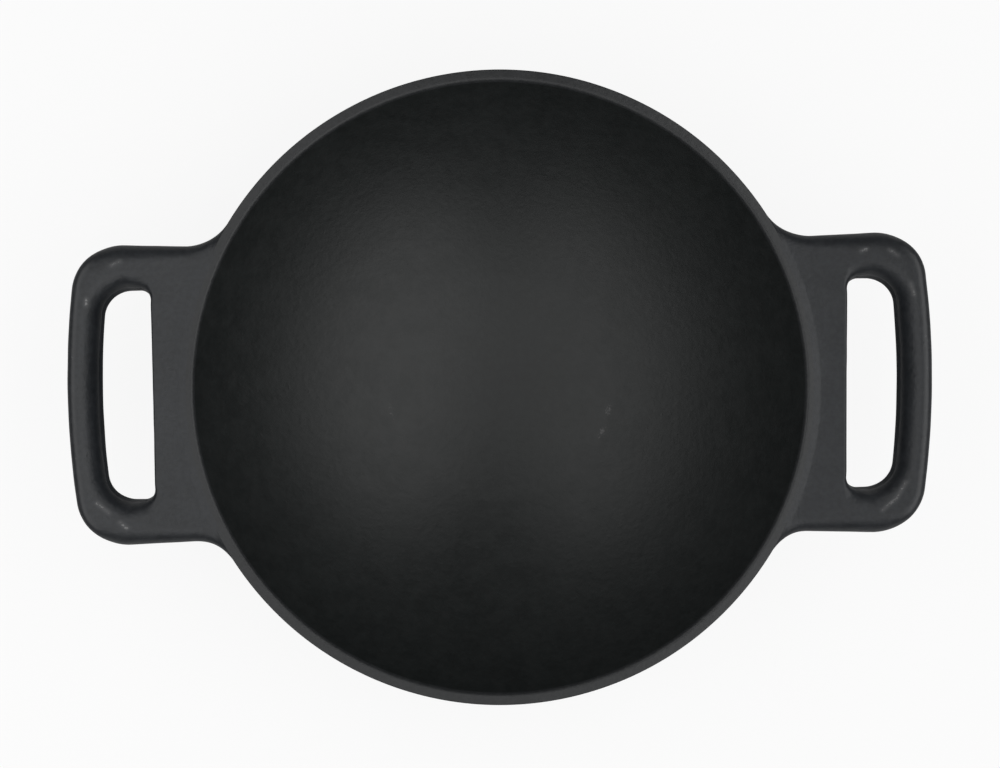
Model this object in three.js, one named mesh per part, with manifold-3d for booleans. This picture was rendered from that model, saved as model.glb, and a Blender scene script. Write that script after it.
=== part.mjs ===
// A cast iron wok: a round-bottomed bowl with a flat rim land, a foot ring and two loop handles.
// The real wok is a single casting. Here it is divided where its regions meet, and each region is one solid.
// Millimetres, +Z up. The origin is the centre of the foot's standing face, and the handles lie along X.

import * as THREE from "three";
import { mergeVertices } from "three/addons/utils/BufferGeometryUtils.js";
import Module from "manifold-3d";

// Bowl
const RIM_DIAMETER = 310;
const RIM_LAND = 4.9; // width of the flat on top of the rim
const RIM_HEIGHT = 84; // standing face to rim land
const RIM_EDGE = 1; // rounding of the land's two edges
const RIM_BAND_DEPTH = 8; // how far the rim reaches down the wall
const FLOOR_RADIUS = 58; // where the floor meets the wall in a faint crease
const FLOOR_THICKNESS = 5;
const FLOOR_DISH = 188; // radius to which the floor is dished on its upper face
const FLOOR_CREASE = THREE.MathUtils.degToRad(2); // how much steeper the wall starts than the floor ends

// Foot
const FLOOR_CLEARANCE = 3; // under the middle of the floor
const FOOT_WIDTH = 7;
const FOOT_SETBACK = 1; // foot's outer edge, inside the edge of the floor

// Handles, in plan
const LUG_REACH = 13.5; // rim to slot
const SLOT_WIDTH = 26.2;
const SLOT_LENGTH = 102;
const SLOT_NEAR_CORNER = 4.5; // corners beside the bowl
const SLOT_FAR_CORNER = 13.6; // corners beside the grip
const ARM_WIDTH = 21;
const GRIP_WIDTH = 14.8;
const GRIP_BOW = 440; // radius of the grip's outer edge
const OUTER_CORNER = 22;
const ROOT_FILLET = 22; // where a handle's side runs into the rim

// Handles, in height
const HANDLE_RISE = 9; // top of the grip above the rim land
const LUG_THICKNESS = 9;
const GRIP_THICKNESS = 15;
const LUG_EDGE = 1.5; // rounding of the lug's edges
const GRIP_EDGE = 5; // rounding of the grip's and the arms' edges
const ROOT_UNDERCUT = 7; // rounding under the handle's edge where it runs out along the rim
const SLOT_DRAFT = 1.5; // how far the grip's inner wall leans back over its height
const LUG_FILLET = 8; // under the lug, against the bowl
const MOST_ROUND = 0.4; // an edge is rounded by no more than this share of the metal beside it
const MOST_UNDERCUT = 0.8; // and no more than this share of the thickness is rounded off under the roots

// Seam between two regions that are cut from one another
const SEAM = 0.3;

// Finishes: seasoned black iron, a little lighter where it is ground or rubbed
const FLOOR_FINISH = { color: 0x393b3b, roughness: 0.6, metalness: 0.35 };
const WALL_FINISH = { color: 0x333536, roughness: 0.6, metalness: 0.35 };
const RIM_FINISH = { color: 0x424345, roughness: 0.55, metalness: 0.4 };
const FOOT_FINISH = { color: 0x343536, roughness: 0.7, metalness: 0.35 };
const LUG_FINISH = { color: 0x3f4042, roughness: 0.6, metalness: 0.35 };
const GRIP_FINISH = { color: 0x424345, roughness: 0.55, metalness: 0.35 };

// Fineness of the curves
const QUARTER_STEPS = 18;
const TURN_STEPS = 4 * QUARTER_STEPS;
const FLOOR_STEPS = 5;
const FOOT_STEPS = 1;
const WALL_STEPS = 8;
const RIM_STEPS = 2;
const EDGE_STEPS = 3;
const TOP_STEPS = 2;
const UNDERSIDE_STEPS = 5;
const WEB_STEPS = 6;
const ROOT_STEPS = 6;
const ARM_STEPS = 3;
const CORNER_STEPS = 5;
const GRIP_STEPS = 4;

// Places that follow from the sizes
const RIM_RADIUS = RIM_DIAMETER / 2;
const FLOOR_TOP = FLOOR_CLEARANCE + FLOOR_THICKNESS;
const FOOT_OUTER = FLOOR_RADIUS - FOOT_SETBACK;
const FOOT_INNER = FOOT_OUTER - FOOT_WIDTH;
const BAND_BOTTOM = RIM_HEIGHT - RIM_BAND_DEPTH;
const SLOT_NEAR = RIM_RADIUS + LUG_REACH;
const SLOT_FAR = SLOT_NEAR + SLOT_WIDTH;
const HANDLE_END = SLOT_FAR + GRIP_WIDTH;
const HALF_SLOT = SLOT_LENGTH / 2;
const HALF_SPAN = HALF_SLOT + ARM_WIDTH;
const MERGE_TOLERANCE = 1e-4;

const wasm = await Module();
wasm.setup();

/** A geometry as a solid that can be cut. */
function solidOf(geometry) {
  const bare = new THREE.BufferGeometry();
  bare.setAttribute("position", geometry.getAttribute("position").clone());
  bare.setIndex(geometry.getIndex());
  const merged = mergeVertices(bare, MERGE_TOLERANCE);
  const vertProperties = merged.getAttribute("position").array;
  const triVerts = new Uint32Array(merged.getIndex().array);
  return new wasm.Manifold(new wasm.Mesh({ numProp: 3, vertProperties, triVerts }));
}

/** A cut solid as a geometry. */
function geometryOf(solid) {
  const mesh = solid.getMesh();
  const geometry = new THREE.BufferGeometry();
  geometry.setAttribute("position", new THREE.BufferAttribute(mesh.vertProperties, 3));
  geometry.setIndex(new THREE.BufferAttribute(mesh.triVerts, 1));
  geometry.computeVertexNormals();
  return geometry;
}

/** A profile of [radius, height] points turned about Z, once round or over part of a turn. */
function turned(profile, steps = TURN_STEPS, start = 0, sweep = 2 * Math.PI) {
  const points = profile.map(([radius, height]) => new THREE.Vector2(radius, height));
  return new THREE.LatheGeometry(points, steps, start, sweep).rotateX(Math.PI / 2);
}

/** The same profile, closed on itself. */
function turnedRing(profile) {
  return turned([...profile, profile[0]]);
}

/** Points at even steps along a run. */
function alongRun(steps, pointAt) {
  return Array.from({ length: steps + 1 }, (_, i) => pointAt(i / steps));
}

/** The bowl's half section on one face: the floor's dish and the wall's arc up to the rim. */
class Meridian {
  constructor(floorHeight, dish, crease, rimRadius) {
    this.floorHeight = floorHeight;
    this.dish = dish;
    this.start = this.floorPoint(FLOOR_RADIUS);
    this.startAngle = Math.asin(FLOOR_RADIUS / dish) + crease;
    const run = rimRadius - this.start[0];
    const rise = RIM_HEIGHT - this.start[1];
    this.rimAngle = 2 * Math.atan2(rise, run) - this.startAngle;
    this.wallRadius = run / (Math.sin(this.rimAngle) - Math.sin(this.startAngle));
  }

  floorPoint(radius) {
    return [radius, this.floorHeight + this.dish - Math.sqrt(this.dish ** 2 - radius ** 2)];
  }

  wallPoint(angle) {
    const radius = this.start[0] + this.wallRadius * (Math.sin(angle) - Math.sin(this.startAngle));
    const height = this.start[1] + this.wallRadius * (Math.cos(this.startAngle) - Math.cos(angle));
    return [radius, height];
  }

  wallAngle(height) {
    return Math.acos(Math.cos(this.startAngle) - (height - this.start[1]) / this.wallRadius);
  }

  /** Points out along the floor, from one radius to another. */
  floor(from, to, steps) {
    return alongRun(steps, (t) => this.floorPoint(THREE.MathUtils.lerp(from, to, t)));
  }

  /** Points up the wall, from the floor's edge to the rim band. */
  wall() {
    const last = this.wallAngle(BAND_BOTTOM);
    return alongRun(WALL_STEPS, (t) => this.wallPoint(THREE.MathUtils.lerp(this.startAngle, last, t)));
  }

  /** Points up the rim band, to where the rounding of the land's edge starts. */
  band() {
    const first = this.wallAngle(BAND_BOTTOM);
    const last = this.wallAngle(RIM_HEIGHT - RIM_EDGE);
    return alongRun(RIM_STEPS, (t) => this.wallPoint(THREE.MathUtils.lerp(first, last, t)));
  }
}

const outside = new Meridian(FLOOR_CLEARANCE, FLOOR_DISH + FLOOR_THICKNESS, 0, RIM_RADIUS);
const inside = new Meridian(FLOOR_TOP, FLOOR_DISH, FLOOR_CREASE, RIM_RADIUS - RIM_LAND);

/** A rounded edge of the land, from the wall's last point to the land, without its two ends. */
function landEdge(wallEnd, cornerRadius, inward) {
  const corner = new THREE.Vector2(cornerRadius, RIM_HEIGHT);
  const land = new THREE.Vector2(cornerRadius + inward * RIM_EDGE, RIM_HEIGHT);
  const curve = new THREE.QuadraticBezierCurve(new THREE.Vector2(...wallEnd), corner, land);
  return curve.getPoints(EDGE_STEPS).slice(1).map((point) => [point.x, point.y]);
}

function bowlFloor() {
  const under = outside.floor(0, FOOT_INNER, FLOOR_STEPS);
  const foot = outside.floor(FOOT_INNER, FOOT_OUTER, FOOT_STEPS).slice(1);
  const upper = inside.floor(FLOOR_RADIUS, 0, FLOOR_STEPS + FOOT_STEPS);
  return turned([...under, ...foot, outside.start, ...upper]);
}

/** A quarter of the wall, centred on a direction counted from +X, with both ends closed. */
function wallQuarter(direction) {
  const outer = outside.wall();
  const profile = [...outer, ...inside.wall().reverse(), outer[0]];
  const quarter = turned(profile, QUARTER_STEPS, direction + Math.PI / 4, Math.PI / 2);
  const last = QUARTER_STEPS * profile.length;
  const index = [...quarter.getIndex().array];
  for (let i = 0; i < WALL_STEPS; i++) {
    const across = 2 * WALL_STEPS + 1 - i;
    index.push(i, i + 1, across, i + 1, across - 1, across);
    index.push(last + across, last + i + 1, last + i, last + across, last + across - 1, last + i + 1);
  }
  return geometryOf(solidOf(quarter.setIndex(index)));
}

function rimBand() {
  const outer = outside.band();
  const inner = inside.band();
  const outerEdge = landEdge(outer[RIM_STEPS], RIM_RADIUS, -1);
  const innerEdge = landEdge(inner[RIM_STEPS], RIM_RADIUS - RIM_LAND, 1);
  return turnedRing([...outer, ...outerEdge, ...innerEdge.reverse(), ...inner.reverse()]);
}

function footRing() {
  const seat = outside.floor(FOOT_OUTER, FOOT_INNER, FOOT_STEPS);
  return turnedRing([[FOOT_INNER, 0], [FOOT_OUTER, 0], ...seat]);
}

/** Everything within the bowl's outer face, a seam larger, and the space above it. */
function bowlPlug() {
  const face = [...outside.wall(), ...outside.band().slice(1)];
  const lid = RIM_HEIGHT + 2 * HANDLE_RISE;
  return turned([
    [0, FLOOR_CLEARANCE],
    ...face.map(([radius, height]) => [radius + SEAM, height]),
    [RIM_RADIUS + SEAM, RIM_HEIGHT],
    [RIM_RADIUS + SEAM, lid],
    [0, lid],
  ]);
}

/** A corner between the line y = `half` and a bow of radius `bow` about `middle` on the X axis. */
function bowCorner(middle, bow, half, round) {
  const rise = half - round;
  const centre = new THREE.Vector2(middle + Math.sqrt((bow - round) ** 2 - rise ** 2), rise);
  const angle = Math.atan2(rise, centre.x - middle);
  const corner = new THREE.EllipseCurve(centre.x, centre.y, round, round, Math.PI / 2, angle, true);
  const edge = new THREE.EllipseCurve(middle, 0, bow, bow, angle, 0, true);
  return { start: centre.x, corner, edge };
}

/** Matching runs of the slot's edge and the handle's edge, over the half of the handle with y above 0. */
function handleRuns() {
  const bowMiddle = HANDLE_END - GRIP_BOW;
  const farCorner = Math.min(SLOT_FAR_CORNER, SLOT_WIDTH - SLOT_NEAR_CORNER);
  const slotBow = bowCorner(bowMiddle, GRIP_BOW - GRIP_WIDTH, HALF_SLOT, farCorner);
  const edgeBow = bowCorner(bowMiddle, GRIP_BOW, HALF_SPAN, OUTER_CORNER);
  const slotTurn = HALF_SLOT - SLOT_NEAR_CORNER;
  const slotArm = SLOT_NEAR + SLOT_NEAR_CORNER;
  const rootY = HALF_SPAN + ROOT_FILLET;
  const rootX = Math.sqrt((RIM_RADIUS + ROOT_FILLET) ** 2 - rootY ** 2);
  const rootAngle = Math.atan2(rootY, rootX);
  const sunk = RIM_RADIUS - LUG_THICKNESS - LUG_FILLET;
  const at = (x, y) => new THREE.Vector2(x, y);
  const arc = (x, y, radius, from, to) => new THREE.EllipseCurve(x, y, radius, radius, from, to, to < from);
  return [
    {
      slot: new THREE.LineCurve(at(SLOT_NEAR, 0), at(SLOT_NEAR, slotTurn)),
      edge: arc(0, 0, sunk, 0, rootAngle),
      steps: WEB_STEPS,
      grip: [0, 0],
    },
    {
      slot: arc(slotArm, slotTurn, SLOT_NEAR_CORNER, Math.PI, Math.PI / 2),
      edge: arc(rootX, rootY, ROOT_FILLET, Math.PI + rootAngle, 1.5 * Math.PI),
      steps: ROOT_STEPS,
      grip: [0, 1],
    },
    {
      slot: new THREE.LineCurve(at(slotArm, HALF_SLOT), at(slotBow.start, HALF_SLOT)),
      edge: new THREE.LineCurve(at(rootX, HALF_SPAN), at(edgeBow.start, HALF_SPAN)),
      steps: ARM_STEPS,
      grip: [1, 1],
    },
    { slot: slotBow.corner, edge: edgeBow.corner, steps: CORNER_STEPS, grip: [1, 1] },
    { slot: slotBow.edge, edge: edgeBow.edge, steps: GRIP_STEPS, grip: [1, 1] },
  ];
}

/** Stations from the middle of the lug to the middle of the grip, each with its share of the grip's shape. */
function halfStations() {
  const stations = [];
  for (const { slot, edge, steps, grip } of handleRuns()) {
    for (let i = 0; i < steps; i++) {
      const t = i / steps;
      const share = THREE.MathUtils.lerp(grip[0], grip[1], t);
      stations.push({ slot: slot.getPoint(t), edge: edge.getPoint(t), share });
    }
  }
  const last = handleRuns().at(-1);
  stations.push({ slot: last.slot.getPoint(1), edge: last.edge.getPoint(1), share: 1 });
  return stations;
}

/** Height of the handle's top: level with the land at the rim, and rising evenly to the grip. */
function topHeight(x, y) {
  const rimX = Math.sqrt(RIM_RADIUS ** 2 - y ** 2);
  return RIM_HEIGHT + (HANDLE_RISE * (x - rimX)) / (SLOT_FAR + GRIP_WIDTH / 2 - rimX);
}

/** Thickness of the handle: thin at the lug, thick at the grip. */
function thicknessAt(x) {
  const grip = THREE.MathUtils.smoothstep(x, SLOT_NEAR, SLOT_FAR);
  return THREE.MathUtils.lerp(LUG_THICKNESS, GRIP_THICKNESS, grip);
}

/** Height of the handle's underside, which is filleted against the bowl. */
function bottomHeight(x, y) {
  const wallRadius = RIM_RADIUS - (LUG_THICKNESS + LUG_FILLET) / Math.tan(outside.rimAngle);
  const away = THREE.MathUtils.clamp(Math.hypot(x, y) - wallRadius, 0, LUG_FILLET);
  const fillet = LUG_FILLET - Math.sqrt(LUG_FILLET ** 2 - (LUG_FILLET - away) ** 2);
  return topHeight(x, y) - thicknessAt(x) - fillet;
}

/** One section of the handle, from the slot over the top to the edge and back underneath. */
function handleSection({ slot, edge, share }) {
  const width = slot.distanceTo(edge);
  const across = edge.clone().sub(slot).normalize();
  const thin = Math.min(thicknessAt(slot.x), thicknessAt(edge.x));
  const edgeRound = THREE.MathUtils.lerp(LUG_EDGE, GRIP_EDGE, share);
  const round = Math.min(edgeRound, width * MOST_ROUND, thin * MOST_ROUND);
  const under = Math.min(THREE.MathUtils.lerp(ROOT_UNDERCUT, round, share), thin * MOST_UNDERCUT);
  const draft = SLOT_DRAFT * share;
  const points = [];
  const put = (away, height, sink) => {
    const x = slot.x + across.x * away;
    const y = slot.y + across.y * away;
    points.push(new THREE.Vector3(x, y, height(x, y) + sink));
  };
  const corner = (radius, i) => {
    const angle = (Math.PI / 2) * (i / EDGE_STEPS);
    return { back: radius * (1 - Math.cos(angle)), sink: radius * (1 - Math.sin(angle)) };
  };
  for (let i = 0; i <= EDGE_STEPS; i++) {
    const { back, sink } = corner(round, i);
    put(draft + back, topHeight, -sink);
  }
  for (let i = 1; i < TOP_STEPS; i++) {
    put(THREE.MathUtils.lerp(draft + round, width - round, i / TOP_STEPS), topHeight, 0);
  }
  for (let i = EDGE_STEPS; i >= 0; i--) {
    const { back, sink } = corner(round, i);
    put(width - back, topHeight, -sink);
  }
  for (let i = 0; i <= EDGE_STEPS; i++) {
    const { back, sink } = corner(under, i);
    put(width - back, bottomHeight, sink);
  }
  for (let i = 1; i < UNDERSIDE_STEPS; i++) {
    put(THREE.MathUtils.lerp(width - under, round, i / UNDERSIDE_STEPS), bottomHeight, 0);
  }
  for (let i = EDGE_STEPS; i >= 0; i--) {
    const { back, sink } = corner(round, i);
    put(back, bottomHeight, sink);
  }
  return points;
}

/** Closed sections joined one to the next, and the last to the first. */
function ringLoft(sections) {
  const count = sections[0].length;
  const index = [];
  sections.forEach((_, i) => {
    const here = i * count;
    const next = ((i + 1) % sections.length) * count;
    for (let j = 0; j < count; j++) {
      const k = (j + 1) % count;
      index.push(here + j, next + j, here + k);
      index.push(next + j, next + k, here + k);
    }
  });
  const geometry = new THREE.BufferGeometry().setFromPoints(sections.flat());
  return geometry.setIndex(index);
}

/** The whole right handle, its root still inside the bowl. */
function handleBlank() {
  const upper = halfStations().map(handleSection);
  const mirrored = (section) => section.map((point) => new THREE.Vector3(point.x, -point.y, point.z));
  const lower = upper.slice(1, -1).reverse().map(mirrored);
  return solidOf(ringLoft([...upper, ...lower]));
}

/** A block that holds everything between two distances along X. */
function slab(from, to) {
  const block = new THREE.BoxGeometry(to - from, 4 * HALF_SPAN, 4 * RIM_HEIGHT);
  return solidOf(block.translate((from + to) / 2, 0, RIM_HEIGHT));
}

const group = new THREE.Group();

function add(name, geometry, finish, turn = 0) {
  const mesh = new THREE.Mesh(geometry, new THREE.MeshStandardMaterial(finish));
  mesh.name = name;
  mesh.rotation.z = turn;
  group.add(mesh);
}

const blank = handleBlank();
const division = SLOT_NEAR + SLOT_NEAR_CORNER;
const lugBlank = blank.intersect(slab(0, division - SEAM / 2));
const lug = geometryOf(lugBlank.subtract(solidOf(bowlPlug())));
const grip = geometryOf(blank.intersect(slab(division + SEAM / 2, HANDLE_END + GRIP_WIDTH)));

add("bowl_floor", bowlFloor(), FLOOR_FINISH);
add("bowl_right_wall", wallQuarter(0), WALL_FINISH);
add("bowl_back_wall", wallQuarter(Math.PI / 2), WALL_FINISH);
add("bowl_left_wall", wallQuarter(Math.PI), WALL_FINISH);
add("bowl_front_wall", wallQuarter(1.5 * Math.PI), WALL_FINISH);
add("rim_band", rimBand(), RIM_FINISH);
add("foot_ring", footRing(), FOOT_FINISH);
add("left_handle_lug", lug.clone(), LUG_FINISH, Math.PI);
add("left_handle_grip", grip.clone(), GRIP_FINISH, Math.PI);
add("right_handle_lug", lug, LUG_FINISH);
add("right_handle_grip", grip, GRIP_FINISH);

export default group;
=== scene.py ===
"""Looks of a cast iron wok: turned bowl, rim land and foot, two loop handles, seasoned iron and a studio."""

import logging
import math
from dataclasses import dataclass, field
from enum import Enum

import bmesh
import bpy
import numpy as np
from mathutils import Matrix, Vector, noise


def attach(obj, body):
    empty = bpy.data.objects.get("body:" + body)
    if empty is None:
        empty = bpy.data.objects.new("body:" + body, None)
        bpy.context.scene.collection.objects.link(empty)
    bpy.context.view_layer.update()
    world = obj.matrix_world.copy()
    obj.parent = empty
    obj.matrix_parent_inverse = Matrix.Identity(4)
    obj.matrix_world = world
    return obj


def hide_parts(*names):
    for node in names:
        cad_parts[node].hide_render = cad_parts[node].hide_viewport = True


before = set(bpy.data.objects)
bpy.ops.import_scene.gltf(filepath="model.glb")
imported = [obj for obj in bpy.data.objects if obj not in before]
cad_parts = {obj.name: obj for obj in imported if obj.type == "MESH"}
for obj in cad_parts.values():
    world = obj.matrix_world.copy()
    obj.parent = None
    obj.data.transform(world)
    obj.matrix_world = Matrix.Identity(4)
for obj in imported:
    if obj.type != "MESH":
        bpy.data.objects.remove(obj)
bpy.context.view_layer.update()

MM = 0.001
BODY = "root"
PHOTO_WIDTH = 1000
SHARP_ANGLE = math.radians(40.0)
NOISE_ROUGHNESS = 0.55
TINY = 1e-12
LOG = logging.getLogger("wok")

Colour = tuple[float, float, float, float]
Point = tuple[float, float]
Profile = list[Point]
Plug = bpy.types.NodeSocket | float | int | tuple
Plugs = dict[str | int, Plug]
Span = tuple[float, float]


class Slot(Enum):
    """Material slots of the record."""

    BOWL = "bowl_iron"
    RIM = "rim_iron"
    FOOT = "foot_iron"
    HANDLE = "handle_iron"


class Side(Enum):
    """The two handles, each with the sign of its x."""

    RIGHT = 1.0
    LEFT = -1.0


class NodeSheet:
    """A node tree with short calls that add and join its nodes."""

    spacing = 200

    def __init__(self, tree: bpy.types.NodeTree) -> None:
        """Keeps the tree that the calls work on."""
        self.tree = tree

    def socket(self, name: str, kind: str, way: str = "INPUT") -> bpy.types.NodeTreeInterfaceSocket:
        """Gives the tree a named socket of a kind, as an INPUT or an OUTPUT."""
        return self.tree.interface.new_socket(name, in_out=way, socket_type=f"NodeSocket{kind}")

    def join(self, socket: bpy.types.NodeSocket, value: Plug) -> None:
        """Feeds an input from another socket, or sets its own value.

        Args:
            socket: The input.
            value: An output socket, or a plain value.
        """
        if isinstance(value, bpy.types.NodeSocket):
            self.tree.links.new(value, socket)
        else:
            socket.default_value = value

    def add(self, kind: str, plugs: Plugs | None = None, **settings: object) -> bpy.types.Node:
        """Adds a node.

        Args:
            kind: Blender's name of the node type.
            plugs: Inputs by name or place, each with what feeds it.
            settings: Properties of the node itself.

        Returns:
            The new node.
        """
        node = self.tree.nodes.new(kind)
        node.location = (self.spacing * len(self.tree.nodes), 0)
        for name, value in settings.items():
            setattr(node, name, value)
        for key, value in (plugs or {}).items():
            self.join(node.inputs[key], value)
        return node

    def math(self, operation: str, *values: Plug) -> bpy.types.NodeSocket:
        """One step of arithmetic, by Blender's name of the operation."""
        return self.add("ShaderNodeMath", dict(enumerate(values)), operation=operation).outputs[0]

    def scaled(self, value: Plug, span: Span, onto: Span = (0.0, 1.0)) -> bpy.types.NodeSocket:
        """Maps a value from one range to another, smoothly and without leaving it."""
        plugs = {"Value": value, 1: span[0], 2: span[1], 3: onto[0], 4: onto[1]}
        return self.add("ShaderNodeMapRange", plugs, interpolation_type="SMOOTHSTEP").outputs["Result"]

    def blend(self, share: Plug, first: Plug, second: Plug) -> bpy.types.NodeSocket:
        """Mixes two colours by the share of the second."""
        return self.add("ShaderNodeMix", {0: share, 6: first, 7: second}, data_type="RGBA").outputs[2]

    def noise(self, position: Plug, size: Plug, detail: float = 2.0) -> bpy.types.NodeSocket:
        """Solid noise about 0.5.

        Args:
            position: Place in metres.
            size: Size of its features in millimetres.
            detail: Octaves of finer features.

        Returns:
            The noise's socket.
        """
        scale = self.math("DIVIDE", 1.0 / MM, size)
        plugs = {"Vector": position, "Scale": scale, "Detail": detail, "Roughness": NOISE_ROUGHNESS}
        return self.add("ShaderNodeTexNoise", plugs, noise_dimensions="3D").outputs["Fac"]


@dataclass(frozen=True)
class Meridian:
    """Half section of one face of the bowl: dished floor and wall arc, in millimetres."""

    floor_height: float
    dish: float
    crease: float
    rim_radius: float
    rim_height: float
    floor_radius: float

    @property
    def start(self) -> Point:
        """Where the floor meets the wall."""
        return self.floor_point(self.floor_radius)

    @property
    def start_slope(self) -> float:
        """Slope at which the wall leaves the floor."""
        return math.asin(self.floor_radius / self.dish) + self.crease

    @property
    def rim_slope(self) -> float:
        """Slope of the wall at the height of the rim."""
        run = self.rim_radius - self.start[0]
        return 2 * math.atan2(self.rim_height - self.start[1], run) - self.start_slope

    @property
    def wall_radius(self) -> float:
        """Radius of the wall's arc."""
        run = self.rim_radius - self.start[0]
        return run / (math.sin(self.rim_slope) - math.sin(self.start_slope))

    def floor_point(self, radius: float) -> Point:
        """Radius and height on the floor."""
        return radius, self.floor_height + self.dish - math.sqrt(self.dish**2 - radius**2)

    def wall_slope(self, height: np.ndarray | float) -> np.ndarray | float:
        """Slope of the wall at a height."""
        return np.arccos(math.cos(self.start_slope) - (height - self.start[1]) / self.wall_radius)

    def wall_reach(self, height: np.ndarray | float) -> np.ndarray | float:
        """Radius of the wall at a height."""
        turn = np.sin(self.wall_slope(height)) - math.sin(self.start_slope)
        return self.start[0] + self.wall_radius * turn

    def points(self, top: float, floor_steps: int, wall_steps: int) -> Profile:
        """Points from the axis over the floor and up the wall.

        Args:
            top: Height of the last point.
            floor_steps: Steps over the floor.
            wall_steps: Steps up the wall.

        Returns:
            The points.
        """
        floor = [self.floor_point(self.floor_radius * i / floor_steps) for i in range(floor_steps)]
        slopes = np.linspace(self.start_slope, float(self.wall_slope(top)), wall_steps + 1)
        heights = self.start[1] + self.wall_radius * (math.cos(self.start_slope) - np.cos(slopes))
        return floor + [(float(self.wall_reach(height)), float(height)) for height in heights]


@dataclass(frozen=True)
class WokSizes:
    """Sizes that more than one piece of the wok takes, in millimetres."""

    rim_radius: float = 155.0
    land: float = 4.9
    land_edge: float = 1.0
    land_fall: float = math.radians(6.0)
    rim_depth: float = 1.5
    rim_bulge: float = 0.65
    rim_height: float = 84.0
    floor_radius: float = 58.0
    floor_thickness: float = 5.0
    floor_dish: float = 188.0
    floor_crease: float = math.radians(2.0)
    floor_clearance: float = 3.0

    @property
    def outside(self) -> Meridian:
        """The bowl's outer face."""
        dish = self.floor_dish + self.floor_thickness
        return Meridian(self.floor_clearance, dish, 0.0, self.rim_radius, self.rim_height, self.floor_radius)

    @property
    def inside(self) -> Meridian:
        """The bowl's inner face."""
        floor = self.floor_clearance + self.floor_thickness
        mouth = self.rim_radius - self.land
        return Meridian(floor, self.floor_dish, self.floor_crease, mouth, self.rim_height, self.floor_radius)

    @property
    def band_bottom(self) -> float:
        """Height at which the ground rim takes over from the cast wall."""
        return self.rim_height - self.rim_depth

    def land_height(self, radius: np.ndarray | float) -> np.ndarray | float:
        """Height of the land, which falls a little outwards."""
        return self.rim_height - math.tan(self.land_fall) * (radius - self.rim_radius + self.land)


def cleared(owner: bpy.types.Material | bpy.types.World) -> NodeSheet:
    """Switches on an owner's nodes and clears them.

    Args:
        owner: A material or a world.

    Returns:
        Its empty sheet.
    """
    owner.use_nodes = True
    owner.node_tree.nodes.clear()
    return NodeSheet(owner.node_tree)


def put(name: str, data: bpy.types.ID) -> bpy.types.Object:
    """Puts an object into the scene.

    Args:
        name: Name of the object.
        data: Its mesh, camera or lamp.

    Returns:
        The object.
    """
    made = bpy.data.objects.new(name, data)
    bpy.context.scene.collection.objects.link(made)
    return made


def seat(piece: bpy.types.Object, nodes: tuple[str, ...]) -> None:
    """Makes a finished piece stand for its nodes and reports it.

    Args:
        piece: The finished piece.
        nodes: Nodes that it stands for.
    """
    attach(piece, BODY)
    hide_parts(*nodes)
    LOG.info("%s: %d faces, stands for %s", piece.name, len(piece.data.polygons), ", ".join(nodes))


def close_mesh(mesh: bpy.types.Mesh) -> None:
    """Turns a closed mesh's faces outwards and shades it smooth up to the sharp angle.

    Args:
        mesh: The mesh.
    """
    work = bmesh.new()
    work.from_mesh(mesh)
    bmesh.ops.recalc_face_normals(work, faces=work.faces)
    work.to_mesh(mesh)
    work.free()
    mesh.polygons.foreach_set("use_smooth", [True] * len(mesh.polygons))
    mesh.set_sharp_from_angle(angle=SHARP_ANGLE)
    mesh.update()


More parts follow.
